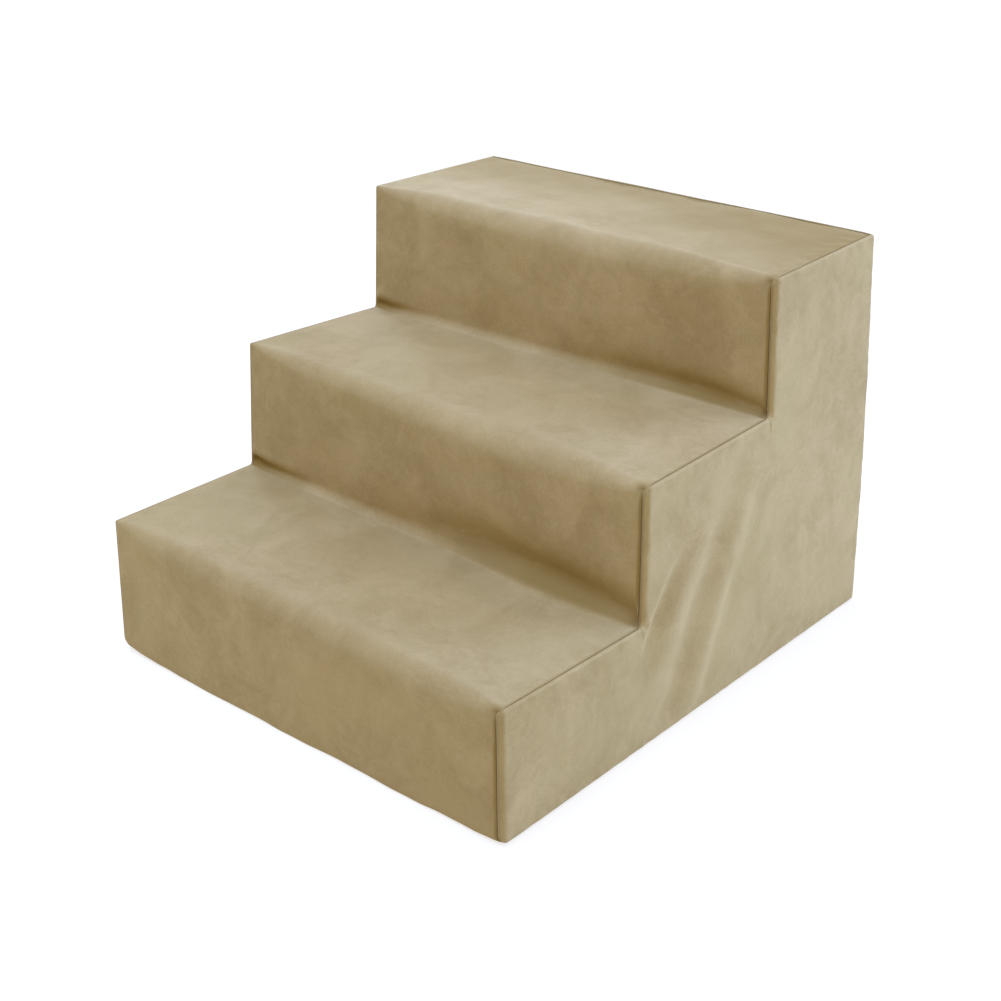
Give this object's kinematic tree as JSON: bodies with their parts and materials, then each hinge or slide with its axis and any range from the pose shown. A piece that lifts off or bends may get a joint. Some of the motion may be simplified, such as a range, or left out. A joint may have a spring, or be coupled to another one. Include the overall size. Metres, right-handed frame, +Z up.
{
  "type": "pet stairs",
  "caption": "Low foam pet stairs in a sewn, removable fabric cover with a zipper across the back.",
  "frame": {"origin": "centre of the underside, on the floor", "axes": "+Z up, -Y towards the first step, +X to the right of someone who faces the first step from the front"},
  "size_m": [0.4072, 0.453, 0.321],
  "materials": {
    "microsuede": "plain tan microsuede with a short, soft nap",
    "foam": "cream open-cell polyurethane foam",
    "sewing_thread": "twisted polyester thread, a shade darker than the cover",
    "zipper_tape": "woven polyester tape",
    "zipper_coil": "moulded nylon, slightly glossy",
    "zipper_metal": "die-cast zinc with a satin tan enamel"
  },
  "bodies": {
    "stairs": {"foam_base_block": "foam", "foam_middle_block": "foam", "foam_top_block": "foam", "step_panel": "microsuede", "right_side_panel": "microsuede", "left_side_panel": "microsuede", "back_upper_panel": "microsuede", "back_lower_panel": "microsuede", "bottom_panel": "microsuede", "right_seam_thread": "sewing_thread", "left_seam_thread": "sewing_thread", "top_back_seam_thread": "sewing_thread", "bottom_front_seam_thread": "sewing_thread", "bottom_back_seam_thread": "sewing_thread", "zipper_upper_tape": "zipper_tape", "zipper_lower_tape": "zipper_tape", "zipper_upper_coil": "zipper_coil", "zipper_lower_coil": "zipper_coil", "zipper_top_stops": "zipper_metal", "zipper_bottom_stop": "zipper_metal", "zipper_upper_stitches": "sewing_thread", "zipper_lower_stitches": "sewing_thread"},
    "slider": {"zipper_slider": "zipper_metal"},
    "pull_tab": {"zipper_pull_tab": "zipper_metal"}
  },
  "joints": [
    {"name": "slider_travel", "type": "slide", "parent": "stairs", "child": "slider", "axis": [-1, 0, 0], "range_m": [0, 0.3666], "deforming": ["zipper_upper_coil", "zipper_lower_coil"]},
    {"name": "pull_tab_swing", "type": "hinge", "parent": "slider", "child": "pull_tab", "pos_m": [0.18674, 0.2264, 0.034], "axis": [0, 0, -1], "range_deg": [0, 180]}
  ]
}
